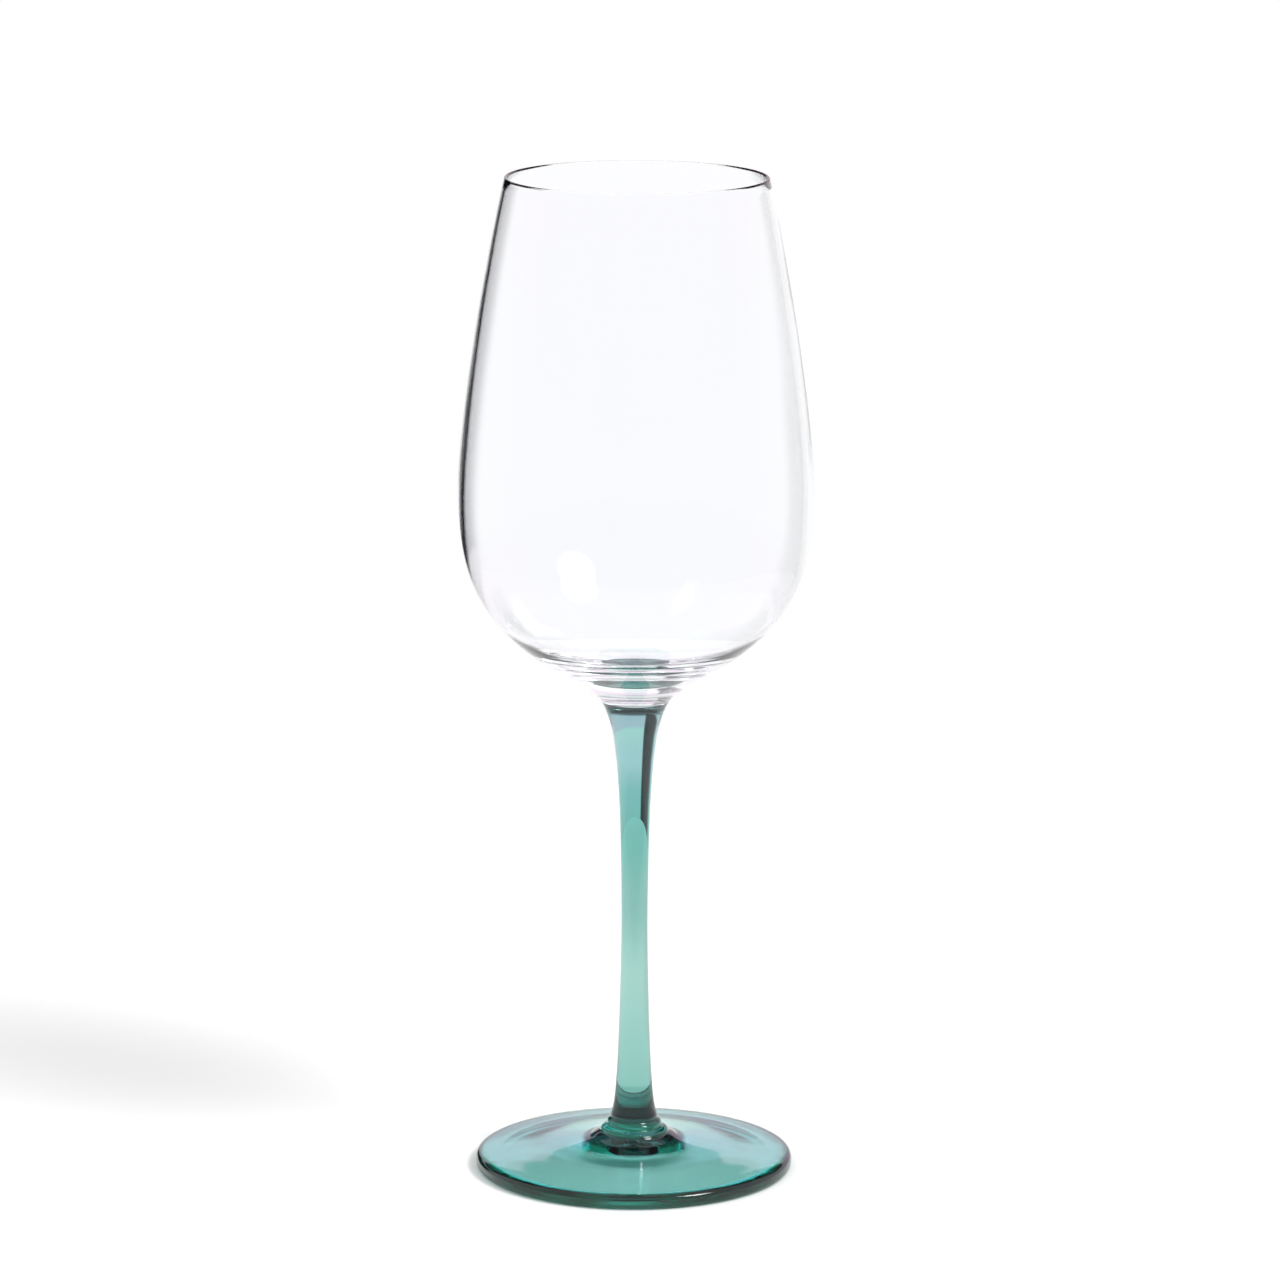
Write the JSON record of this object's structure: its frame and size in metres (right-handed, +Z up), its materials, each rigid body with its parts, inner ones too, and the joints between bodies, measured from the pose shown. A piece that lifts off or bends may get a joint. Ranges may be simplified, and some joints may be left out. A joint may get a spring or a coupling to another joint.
{
  "type": "wine glass",
  "caption": "Tall stemmed wine glass: clear tapered bowl to hold wine, fused to a slim green stem and a round green foot.",
  "frame": {"origin": "centre of the foot, on the surface that the glass stands on", "axes": "+Z up along the stem, towards the open rim; the glass is round, so X and Y are any two level directions"},
  "size_m": [0.0808, 0.0808, 0.23],
  "materials": {
    "clear_glass": "clear, fire-polished",
    "green_glass": "transparent blue-green, fire-polished"
  },
  "bodies": {
    "root": {"bowl": "clear_glass", "stem": "green_glass", "foot": "green_glass"}
  },
  "joints": []
}
